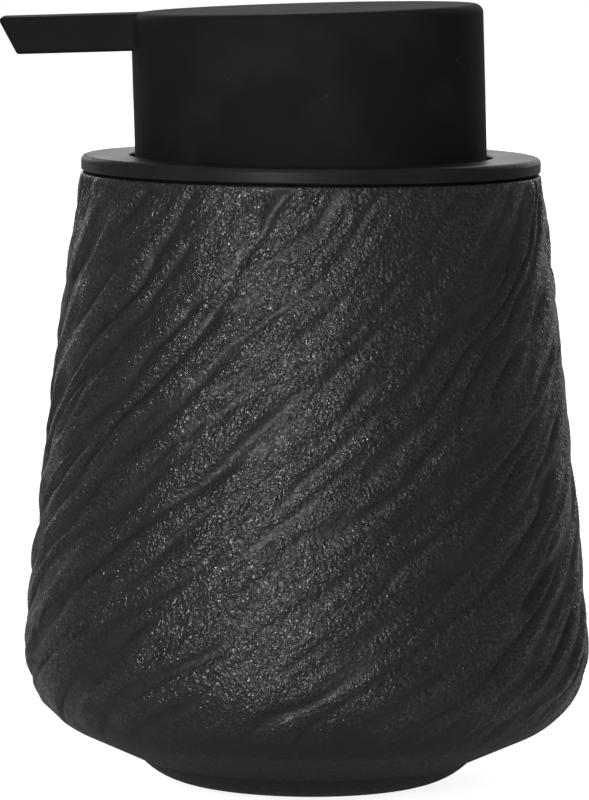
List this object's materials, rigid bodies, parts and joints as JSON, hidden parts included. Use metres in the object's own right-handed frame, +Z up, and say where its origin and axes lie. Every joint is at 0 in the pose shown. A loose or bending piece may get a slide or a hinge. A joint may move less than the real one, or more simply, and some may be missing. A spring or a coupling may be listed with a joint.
{
  "type": "soap pump dispenser",
  "caption": "Free-standing soap dispenser: a creased stoneware pot with a press-down head, a flat spout and a spring pump that lifts out to refill it.",
  "frame": {"origin": "centre of the underside, where the base pad meets the surface the dispenser stands on", "axes": "+Z up along the pump's stem; -X is the side the spout points to at rest; +Y is to the back when the spout points left"},
  "size_m": [0.0964, 0.092, 0.1273],
  "materials": {
    "stoneware": "matt, creased and flecked",
    "black_plastic": "satin moulded",
    "silicone_rubber": "matt",
    "natural_plastic": "natural moulded",
    "white_foam": "soft foam",
    "clear_tube": "milky extruded",
    "steel_ball": "polished",
    "spring_steel": "drawn wire"
  },
  "bodies": {
    "pot": {"container": "stoneware", "base_pad": "silicone_rubber"},
    "pump": {"collar_insert": "black_plastic", "mouth_seal": "silicone_rubber", "neck_gasket": "white_foam", "pump_housing": "natural_plastic", "chaplet": "black_plastic", "closure_nut": "black_plastic", "dip_tube": "clear_tube", "ball_cage": "natural_plastic", "pump_spring": "spring_steel"},
    "plunger": {"stem": "natural_plastic", "outlet_valve": "natural_plastic"},
    "head": {"cap_shell": "black_plastic", "actuator_core": "natural_plastic", "spout_liner": "natural_plastic"},
    "piston_seal": {"piston": "natural_plastic"},
    "check_ball": {"inlet_ball": "steel_ball"}
  },
  "joints": [
    {"name": "pump_lift_out", "type": "slide", "parent": "pot", "child": "pump", "axis": [0, 0, 1], "range_m": [0, 0.11]},
    {"name": "head_press", "type": "slide", "parent": "pump", "child": "plunger", "axis": [0, 0, -1], "range_m": [0, 0.012], "stiffness_N_per_m": 600, "springref_m": -0.006, "deforming": ["pump_spring"]},
    {"name": "head_swivel", "type": "hinge", "parent": "plunger", "child": "head", "pos_m": [0, 0, 0.117], "axis": [0, 0, 1], "continuous": true},
    {"name": "piston_float", "type": "slide", "parent": "plunger", "child": "piston_seal", "axis": [0, 0, 1], "range_m": [0, 0.001]},
    {"name": "inlet_ball_lift", "type": "slide", "parent": "pump", "child": "check_ball", "axis": [0, 0, 1], "range_m": [0, 0.0015]}
  ]
}
